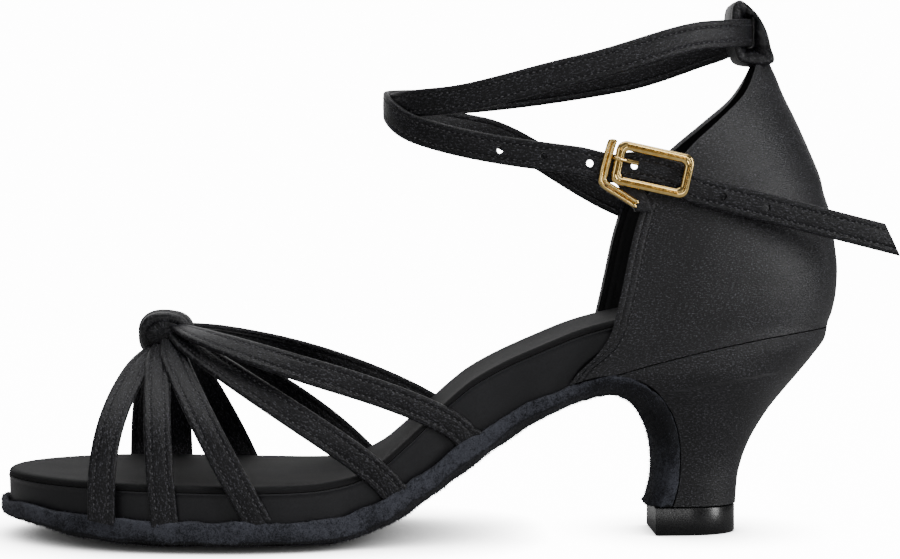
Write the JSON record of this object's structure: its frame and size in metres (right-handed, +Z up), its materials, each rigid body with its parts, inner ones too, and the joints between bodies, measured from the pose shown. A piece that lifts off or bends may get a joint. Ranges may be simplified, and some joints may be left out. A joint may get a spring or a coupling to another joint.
{
  "type": "dance sandal",
  "caption": "Left dance sandal with a suede sole, a flared heel, an open strapped vamp, a closed heel cup and a crossed ankle strap with a small buckle.",
  "frame": {"origin": "middle of the heel's top piece, on the floor", "axes": "+X towards the toe, +Y to the outer side of the left foot, +Z up"},
  "size_m": [0.2549, 0.0817, 0.1521],
  "materials": {
    "suede": "napped suede",
    "footbed_cover": "smooth, semi-matte",
    "insole_lining": "matte",
    "heel_satin": "satin",
    "heel_rubber": "gloss",
    "upper_satin": "satin",
    "gold_metal": "polished"
  },
  "bodies": {
    "root": {"outsole": "suede", "footbed": "footbed_cover", "insole": "insole_lining", "heel": "heel_satin", "heel_tip": "heel_rubber", "quarter": "upper_satin", "vamp_straps": "upper_satin", "vamp_knot": "upper_satin", "heel_loop": "upper_satin", "ankle_strap": "upper_satin", "buckle_frame": "gold_metal", "buckle_hook": "gold_metal", "buckle_pin": "gold_metal", "buckle_tab": "upper_satin"}
  },
  "joints": []
}
